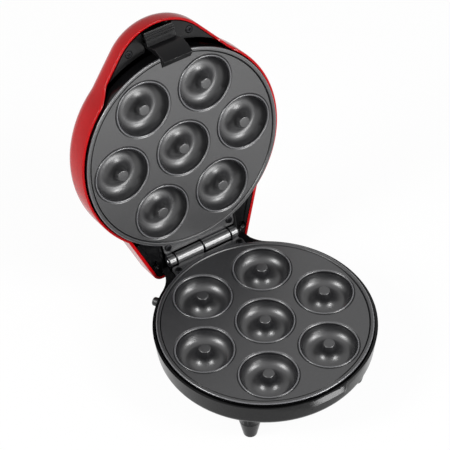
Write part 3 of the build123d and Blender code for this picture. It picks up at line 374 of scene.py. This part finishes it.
# ring cavity: post, trough and the bead around it
def drawCavity(c):
    bm = bmesh.new()
    fieldZ = -c["fieldDrop"]
    outerReach = c["cavityR"] - c["troughR"]
    depth = c["cavityDepth"] - c["fieldDrop"]
    bmesh.ops.create_circle(bm, segments=c["segments"], radius=1, matrix=Matrix.Rotation(pi / 2, 4, "X"))
    bmesh.ops.scale(bm, vec=(outerReach, 1, depth), verts=bm.verts)
    bmesh.ops.translate(bm, vec=(c["troughR"], 0, fieldZ), verts=bm.verts)
    geom = bm.verts[:] + bm.edges[:]
    level = (0, 0, fieldZ)
    bmesh.ops.bisect_plane(bm, geom=geom, plane_co=level, plane_no=(0, 0, 1), clear_outer=True, dist=mergeMm)
    # the inner quarter is wider and lower, so that it flares out from the post
    flare = [vert for vert in bm.verts if vert.co.x < c["troughR"] - mergeMm]
    bottom = Matrix.Translation((-c["troughR"], 0, c["cavityDepth"]))
    widen = (c["troughR"] - c["postFootR"]) / outerReach
    bmesh.ops.scale(bm, vec=(widen, 1, c["flareHeight"] / depth), space=bottom, verts=flare)
    inner = min(bm.verts, key=lambda vert: vert.co.x)
    outer = max(bm.verts, key=lambda vert: vert.co.x)
    post = drawLine(bm, [(0, c["postRise"]), (c["postTopR"], c["postRise"])])
    bm.edges.new((post[-1], inner))
    beadR = c["cavityR"] + c["beadWidth"]
    bead = drawLine(
        bm,
        [
            (c["cavityR"] + c["beadSlope"], 0),
            (beadR - c["beadSlope"], 0),
            (beadR, fieldZ - c["grooveDepth"]),
            (beadR + c["grooveWidth"], fieldZ),
        ],
    )
    bm.edges.new((outer, bead[0]))
    roundOff(bm, [post[-1]], c["postRound"])
    roundOff(bm, bead[:2], c["beadRound"])
    spinAll(bm, c["segments"])
    for face in bm.faces:
        reach = face.calc_center_median().xy.length
        if reach > c["cavityR"] + c["beadSlope"] / 2 and face.calc_center_median().z > -c["beadRound"]:
            face.material_index = 1  # the bead's crown gets the paler edge coating, a painted highlight line
    return bm


# the plate's top face, from the field's middle out over the rim and down the skirt
def drawPlate(c):
    bm = bmesh.new()
    fieldZ = -c["fieldDrop"]
    holeR = c["cavityR"] + c["beadWidth"] + c["grooveWidth"]
    ringPlaces = [Matrix()]
    for step in range(c["ringCount"]):
        angle = 2 * pi * step / c["ringCount"]
        ringPlaces.append(Matrix.Translation((c["pitchR"] * cos(angle), c["pitchR"] * sin(angle), 0)))
    for place in ringPlaces:
        level = place @ Matrix.Translation((0, 0, fieldZ))
        bmesh.ops.create_circle(bm, segments=c["segments"], radius=holeR, matrix=level)
    bmesh.ops.create_circle(
        bm,
        segments=2 * c["segments"],
        radius=c["rimInner"] - c["grooveWidth"],
        matrix=Matrix.Translation((0, 0, fieldZ)),
    )
    bmesh.ops.triangle_fill(bm, edges=bm.edges, use_beauty=True, normal=(0, 0, 1))
    cavity = drawCavity(c)
    mergeInto(bm, cavity, ringPlaces)
    cavity.free()
    rim = bmesh.new()
    skirtR = plateR - c["skirtDraft"]
    line = drawLine(
        rim,
        [
            (c["rimInner"] - c["grooveWidth"], fieldZ),
            (c["rimInner"], fieldZ - c["grooveDepth"]),
            (c["rimTop"], 0),
            (plateR, 0),
            (skirtR, -c["skirtDepth"]),
        ],
    )
    roundOff(rim, line[2:3], c["stepRound"])
    roundOff(rim, line[3:4], c["rimRound"])
    spinAll(rim, 2 * c["segments"])
    # the rim's outer round gets the paler edge coating, a painted highlight line
    for face in rim.faces:
        middle = face.calc_center_median()
        if middle.z > -c["rimRound"] and middle.xy.length > plateR - c["rimRound"]:
            face.material_index = 1
        # the skirt takes the shell's black: painted shade on the coated skirt, which lies in shadow
        elif middle.z < -c["rimRound"]:
            face.material_index = 2
    mergeInto(bm, rim)
    rim.free()
    bmesh.ops.remove_doubles(bm, verts=bm.verts, dist=c["seam"])
    bmesh.ops.recalc_face_normals(bm, faces=bm.faces)
    bmesh.ops.solidify(bm, geom=bm.faces[:], thickness=c["wall"])
    return bm


knuckle = {
    "barrelR": 5.5,
    "pinR": 2.05,
    "long": 28,
    "short": 7,
    "innerGap": 1.5,
    "outerGap": 1.25,
    "edgeRound": 0.5,
    "lugHalf": 38,
    "lugRootY": 86,
    "lugEdgeY": 102.2,
    "lugTop": -1.1,
    "lugThick": 1.9,
    "lugRound": 4,
    "lugRoundSteps": 6,
    "leastAngle": 1,  # radians between the faces of an edge to round
    "webThinner": 0.2,
    "webForward": 3.05,  # from midway between lug and axis
    "segments": 48,
}


# knuckle of the hinge: a bored round bar with softened ends
def drawBarrel(k, start, length):
    bm = bmesh.new()
    end = start + length
    line = drawLine(bm, [(start, k["pinR"]), (start, k["barrelR"]), (end, k["barrelR"]), (end, k["pinR"])])
    roundOff(bm, line[1:3], k["edgeRound"])
    bm.edges.new((line[0], line[3]))
    spinAll(bm, k["segments"], axis=(1, 0, 0))
    return bm


# the lug behind the rim with its two knuckles, and the webs that join them
def drawKnuckles(k):
    bm = bmesh.new()
    bmesh.ops.create_cube(bm, size=1)
    bmesh.ops.scale(bm, vec=(2 * k["lugHalf"], k["lugEdgeY"] - k["lugRootY"], k["lugThick"]), verts=bm.verts)
    lugMiddle = (0, (k["lugEdgeY"] + k["lugRootY"]) / 2, k["lugTop"] - k["lugThick"] / 2)
    bmesh.ops.translate(bm, vec=lugMiddle, verts=bm.verts)
    corners = []  # the two upright edges at the hinge's side
    for edge in bm.edges:
        start, end = (vert.co for vert in edge.verts)
        if abs(start.z - end.z) > k["lugThick"] / 2 and start.y > lugMiddle[1]:
            corners.append(edge)
    roundEdges(bm, corners, k["lugRound"], 0, k["lugRoundSteps"])
    tops = []
    for edge in bm.edges:
        lowest = min(vert.co.z for vert in edge.verts)
        if edge.calc_face_angle() > k["leastAngle"] and lowest > k["lugTop"] - mergeMm:
            tops.append(edge)
    roundEdges(bm, tops, k["edgeRound"], 0)
    earStart = k["innerGap"] / 2 + k["long"] + k["outerGap"]
    for start, length in ((-k["innerGap"] / 2 - k["long"], k["long"]), (earStart, k["short"])):
        barrel = drawBarrel(k, start, length)
        mergeInto(bm, barrel, [Matrix.Translation((0, hingeY, hingeZ))])
        barrel.free()
        web = bmesh.new()
        bmesh.ops.create_cube(web, size=1)
        webSize = (length - 2 * k["edgeRound"], hingeY - k["lugEdgeY"], k["lugThick"] - k["webThinner"])
        webMiddle = (start + length / 2, (hingeY + k["lugEdgeY"]) / 2 - k["webForward"], lugMiddle[2])
        bmesh.ops.scale(web, vec=webSize, verts=web.verts)
        bmesh.ops.translate(web, vec=webMiddle, verts=web.verts)
        mergeInto(bm, web)
        web.free()
    return bm


# the plates' second finish is the paler edge coating, a painted highlight line; the third, the shell's black, is
# painted shade on the skirt
plateFinishes = [paintedSheenCoating, finishes["black_plastic"]]
for side, turn in (("base", basePlace), ("lid", lidPlace @ turnOver)):
    plate = makePiece(
        f"{side}Plate",
        drawPlate(casting),
        turn,
        side,
        "coated_aluminium",
        [f"{side}_plate"],
        casting["sharp"],
        plateFinishes,
    )
    weighNormals(plate)
    knuckles = makePiece(f"{side}Knuckles", drawKnuckles(knuckle), turn, side, "coated_aluminium")
    knuckles.data.materials[0] = burnishedBar
    weighNormals(knuckles)
print("plates made")


# how nodes are copied, and which of their edges are rounded
nodeCopy = {
    "seam": 0.01,
    "flatWithin": 0.5,  # degrees
    "angle": 35,  # degrees
    "shortest": 0.8,  # edges shorter than this stay as they are
}


# copies a node's mesh and joins its facets
def copyNode(node):
    bm = bmesh.new()
    bm.from_mesh(frame["nodes"][node].data)
    bmesh.ops.remove_doubles(bm, verts=bm.verts, dist=nodeCopy["seam"] * mm)
    flat = radians(nodeCopy["flatWithin"])
    bmesh.ops.dissolve_limit(bm, angle_limit=flat, verts=bm.verts, edges=bm.edges)
    return bm


# outer corners, apart from the short edges of small rounds
def outerCorners(bm, shortest=nodeCopy["shortest"]):
    angle = radians(nodeCopy["angle"])
    convex = [edge for edge in bm.edges if edge.is_manifold and edge.is_convex]
    return [edge for edge in convex if edge.calc_face_angle() > angle and edge.calc_length() > shortest * mm]


# copy of a node with rounded outer corners; the rounds get the paler edge finish, a painted highlight line
def softened(name, node, body, slot, radius, shortest=nodeCopy["shortest"]):
    bm = copyNode(node)
    roundEdges(bm, outerCorners(bm, shortest), radius * mm, 1, clamp=True)
    return weighNormals(makePiece(name, bm, Matrix(), body, slot, [node], extra=[glossEdgeSheen[slot]]))


# lid shell: full round lip, and its inner faces black, painted shade on the red plastic
lipAndInnerShade = {
    "lipRound": 0.8,
    "lipSteps": 3,
    "lipTop": 17.5,  # height that the lip's faces stay under
    "lipSideways": 0.02,  # their normals have less than this to the side
    "lipDown": 0.3,  # and more than this downward
    "roof": 18.6,  # faces above this that look down are inside
    "roofDown": 0.5,
    "clear": 0.05,
    "reach": 250,  # an inner face sees another part of the shell this near
    "flatDown": 0.9,  # the lip's flat faces look down more than this
}


# rounds the lip, and gives the inner faces the black finish, painted shade
def drawLidShell(c):
    bm = copyNode("lid_shell")
    bm.normal_update()
    lip = []
    for edge in outerCorners(bm):
        for face in edge.link_faces:
            normal = lidTurn @ face.normal
            level = (toLid @ face.calc_center_median()).z
            if abs(normal.x) < c["lipSideways"] and normal.z < -c["lipDown"] and level < c["lipTop"]:
                lip.append(edge)
                break
    roundEdges(bm, lip, c["lipRound"] * mm, 0, c["lipSteps"])
    bm.normal_update()
    walls = BVHTree.FromBMesh(bm)
    for face in bm.faces:
        normal = lidTurn @ face.normal
        middle = face.calc_center_median()
        start = middle + face.normal * c["clear"] * mm
        facing = walls.ray_cast(start, face.normal, c["reach"] * mm)[0] is not None
        underRoof = normal.z < -c["roofDown"] and (toLid @ middle).z > c["roof"]
        # inner faces take the black: painted shade where the red plastic lies in shadow
        if facing or underRoof:
            face.material_index = 1
    return bm


lidShell = makePiece(
    "lidShell",
    drawLidShell(lipAndInnerShade),
    Matrix(),
    "lid",
    "red_plastic",
    ["lid_shell"],
    extra=[finishes["black_plastic"]],
)
# the black-painted inner faces and the flat lip are kept flat, the outer skin stays smooth
flatSpots = set()
for face in lidShell.data.polygons:
    if face.material_index == 1 or (lidTurn @ face.normal).z < -lipAndInnerShade["flatDown"]:
        flatSpots.update(face.vertices)
lidShell.vertex_groups.new(name="flatSpots").add(list(flatSpots), 1, "REPLACE")
weighNormals(lidShell).modifiers["faceWeight"].vertex_group = "flatSpots"

mouldings = {
    "baseShell": {"node": "base_shell", "body": "base", "slot": "black_plastic", "radius": 0.9},
    "liner": {"node": "lid_liner", "body": "lid", "slot": "black_plastic", "radius": 0.7},
    "tailLiner": {"node": "hinge_cover", "body": "lid", "slot": "black_plastic", "radius": 0.4},
    "latchMoulding": {
        "node": "latch",
        "body": "latch",
        "slot": "latch_plastic",
        "radius": 0.2,
        "shortest": 0.15,
    },
}
pieces = {name: softened(name, **moulding) for name, moulding in mouldings.items()}
pieces["liner"].data.materials[0] = linerBlack

# catch at the front of the base: a polished facet that runs out into the wall at both ends
catch = {
    "wallR": 106.1,  # arc of the front wall
    "wallShift": 5.1,  # its centre behind the plate's
    "rimZ": -3.42,
    "out": 3.78,
    "slopeDrop": 3.1,
    "height": 4,
    "flatHalf": 15.5,  # bulges fully out to here
    "endHalf": 24.5,  # level with the wall from here
    "crown": 2.2,  # how far the ends fall back
    "stations": 24,  # sections on each side
    "inset": 1,  # into the wall
    "edgeIn": 0.35,  # the rim's edge is cut by this much inward
    "edgeDown": 0.05,
    "leastBulge": 0.05,
    "under": 1.2,  # the plain block below is drawn in by this much
}


# sections across the catch, skinned from end to end
def drawCatch(c):
    bm = bmesh.new()
    sections = []
    for step in range(-c["stations"], c["stations"] + 1):
        x = c["endHalf"] * step / c["stations"]
        along = max(0, (abs(x) - c["flatHalf"]) / (c["endHalf"] - c["flatHalf"]))
        bulge = 0.5 + 0.5 * cos(pi * min(1, along))
        wallY = c["wallShift"] - (c["wallR"] ** 2 - x * x) ** 0.5
        wallY += (c["wallShift"] - c["wallR"] - wallY) * bulge
        outY = wallY - (c["out"] - c["crown"] * (x / c["endHalf"]) ** 2) * bulge
        bulge = max(bulge, c["leastBulge"])
        slopeZ = c["rimZ"] - c["slopeDrop"] * bulge
        lowZ = slopeZ - c["height"] * bulge
        profile = [
            (wallY + c["inset"], c["rimZ"]),
            (wallY + c["edgeIn"], c["rimZ"]),
            (wallY, c["rimZ"] - c["edgeDown"]),
            (outY, slopeZ),
            (outY, lowZ),
            (wallY + c["inset"], lowZ),
        ]
        sections.append([bm.verts.new((x, y, z)) for y, z in profile])
    for here, after in zip(sections, sections[1:]):
        for corner in range(len(here)):
            ahead = (corner + 1) % len(here)
            bm.faces.new((here[corner], here[ahead], after[ahead], after[corner]))
    bm.faces.new(sections[0])
    bm.faces.new(sections[-1])
    return bm


for vert in pieces["baseShell"].data.vertices:
    spot = toBase @ vert.co
    if spot.y < catch["wallShift"] - catch["wallR"] - catch["under"]:
        spot.y += catch["under"]
        vert.co = basePlace @ spot
frontCatch = makePiece("frontCatch", drawCatch(catch), basePlace, "base", "black_plastic")
frontCatch.data.materials[0] = polishedBlack
weighNormals(frontCatch)

# lenses of the two lamps: low domes
lens = {
    "edge": 0.7,  # shoulder, as a share of the radius
    "domeDrop": 0.5,
    "edgeRound": 0.2,
    "segments": 48,
}
lamps = {
    "powerDome": {"node": "power_lens", "slot": "red_lens"},
    "readyDome": {"node": "ready_lens", "slot": "green_lens"},
}


def drawLens(c, radius, low, high):
    bm = bmesh.new()
    shoulder = (radius * c["edge"], high - c["domeDrop"] / 2)
    edge = (radius, high - c["domeDrop"])
    line = drawLine(bm, [(0, high), shoulder, edge, (radius, low), (0, low)])
    roundOff(bm, line[1:3], c["edgeRound"])
    spinAll(bm, c["segments"])
    return bm


for name, lamp in lamps.items():
    node = frame["nodes"][lamp["node"]]
    spots = [toLid @ node.matrix_world @ vert.co for vert in node.data.vertices]
    low = Vector([min(spot[axis] for spot in spots) for axis in range(3)])
    high = Vector([max(spot[axis] for spot in spots) for axis in range(3)])
    radius = (high.x - low.x) / 2
    middle = Matrix.Translation(((low.x + high.x) / 2, (low.y + high.y) / 2, 0))
    dome = drawLens(lens, radius, low.z, high.z)
    makePiece(name, dome, lidPlace @ middle, "lid", lamp["slot"], [lamp["node"]])
print("mouldings made")


# camera, floor and light
view = {
    "azimuth": -30.834,
    "elevation": 45.677,
    "roll": -1.715,
    "distance": 2.0961,
    "aim": (0.0332, 0.1211, 0),  # from the plate's middle, at its cooking face
    "lens": 178.53,  # millimetres, on a sensor this wide
    "sensor": 36,
}


def makeCamera(v):
    turn = radians(v["azimuth"])
    rise = radians(v["elevation"])
    roll = radians(v["roll"])
    back = Vector((sin(turn) * cos(rise), -cos(turn) * cos(rise), sin(rise)))
    right = Vector((cos(turn), sin(turn), 0))
    up = back.cross(right)
    rolledRight = cos(roll) * right + sin(roll) * up
    rolledUp = -sin(roll) * right + cos(roll) * up
    data = bpy.data.cameras.new("camera")
    data.lens = v["lens"]
    data.sensor_width = v["sensor"]
    camera = bpy.data.objects.new("camera", data)
    spot = plateCentre + Vector(v["aim"]) + back * v["distance"]
    facing = Matrix((rolledRight, rolledUp, back)).transposed().to_4x4()
    camera.matrix_world = Matrix.Translation(spot) @ facing
    bpy.context.scene.collection.objects.link(camera)
    bpy.context.scene.camera = camera


# azimuth and elevation are where the box stands, seen from the maker
lightAim = (0, 0.05, 0.06)  # from the plate's middle
softboxes = {
    "leftBox": {
        "azimuth": -94.8,
        "elevation": 37,
        "distance": 1.9,
        "width": 0.62,
        "height": 0.8,
        "watts": 28,
    },
    "rightBox": {
        "azimuth": 33.2,
        "elevation": 37,
        "distance": 1.9,
        "width": 0.62,
        "height": 0.8,
        "watts": 25,
    },
    "frontBox": {
        "azimuth": 14,
        "elevation": 6,
        "distance": 2.0,
        "width": 0.9,
        "height": 0.9,
        "watts": 26,
    },
    "topBox": {
        "azimuth": -150,
        "elevation": 62,
        "distance": 2.0,
        "width": 1.1,
        "height": 1.1,
        "watts": 1.5,
    },
}


def makeLights():
    for name, box in softboxes.items():
        data = bpy.data.lights.new(name, "AREA")
        data.shape = "RECTANGLE"
        data.size = box["width"]
        data.size_y = box["height"]
        data.energy = box["watts"]
        lamp = bpy.data.objects.new(name, data)
        turn = radians(box["azimuth"])
        rise = radians(box["elevation"])
        away = Vector((sin(turn) * cos(rise), -cos(turn) * cos(rise), sin(rise)))
        lamp.location = plateCentre + Vector(lightAim) + away * box["distance"]
        lamp.rotation_euler = away.to_track_quat("Z", "Y").to_euler()
        bpy.context.scene.collection.objects.link(lamp)


# 1 for what the camera, a mirror or glass shows, 0 for light that falls on things
def seenDirectly(tree):
    path = addNode(tree, "LightPath")
    half = addNode(tree, "Math", {"operation": "MAXIMUM"})
    tree.links.new(path.outputs["Is Camera Ray"], half.inputs[0])
    tree.links.new(path.outputs["Is Glossy Ray"], half.inputs[1])
    both = addNode(tree, "Math", {"operation": "MAXIMUM"})
    tree.links.new(half.outputs[0], both.inputs[0])
    tree.links.new(path.outputs["Is Transmission Ray"], both.inputs[1])
    return both.outputs[0]


surround = {
    "fill": 0.09,  # light from all sides
    "floorShade": 0.05,  # share of the floor that takes shadows
    "floorSize": 30,
    "floorDrop": 0.0002,  # under the feet
    "floorRough": 0.9,
}


def makeSurround(s):
    world = bpy.data.worlds.new("studio")
    world.use_nodes = True
    bpy.context.scene.world = world
    tree = world.node_tree
    tree.nodes.clear()
    fill = addNode(tree, "Background", values={"Color": (1, 1, 1, 1), "Strength": s["fill"]})
    white = addNode(tree, "Background", values={"Color": (1, 1, 1, 1), "Strength": 1})
    mix = addNode(tree, "MixShader", links={0: seenDirectly(tree), 1: fill.outputs[0], 2: white.outputs[0]})
    addNode(tree, "OutputWorld", links={"Surface": mix.outputs[0]})

    mesh = bpy.data.meshes.new("floor")
    bm = bmesh.new()
    bmesh.ops.create_grid(bm, x_segments=1, y_segments=1, size=s["floorSize"] / 2)
    bm.to_mesh(mesh)
    bm.free()
    floor = bpy.data.objects.new("floor", mesh)
    floor.location.z = -s["floorDrop"]
    paper = {"Roughness": s["floorRough"], "Base Color": linear("#f4f4f4")}
    material, tree, shader, place = newMaterial("whitePaper", paper)
    glow = addNode(tree, "Emission", values={"Color": (1, 1, 1, 1), "Strength": 1})
    glowing = {1: 1 - s["floorShade"]}
    share = addNode(tree, "Math", {"operation": "MULTIPLY"}, glowing, {0: seenDirectly(tree)})
    mix = addNode(tree, "MixShader", links={0: share.outputs[0], 1: shader.outputs[0], 2: glow.outputs[0]})
    tree.links.new(mix.outputs[0], tree.nodes["Material Output"].inputs["Surface"])
    mesh.materials.append(material)
    bpy.context.scene.collection.objects.link(floor)


makeCamera(view)
makeLights()
makeSurround(surround)
bpy.context.scene.view_settings.view_transform = "Standard"
print("camera, light and floor set")
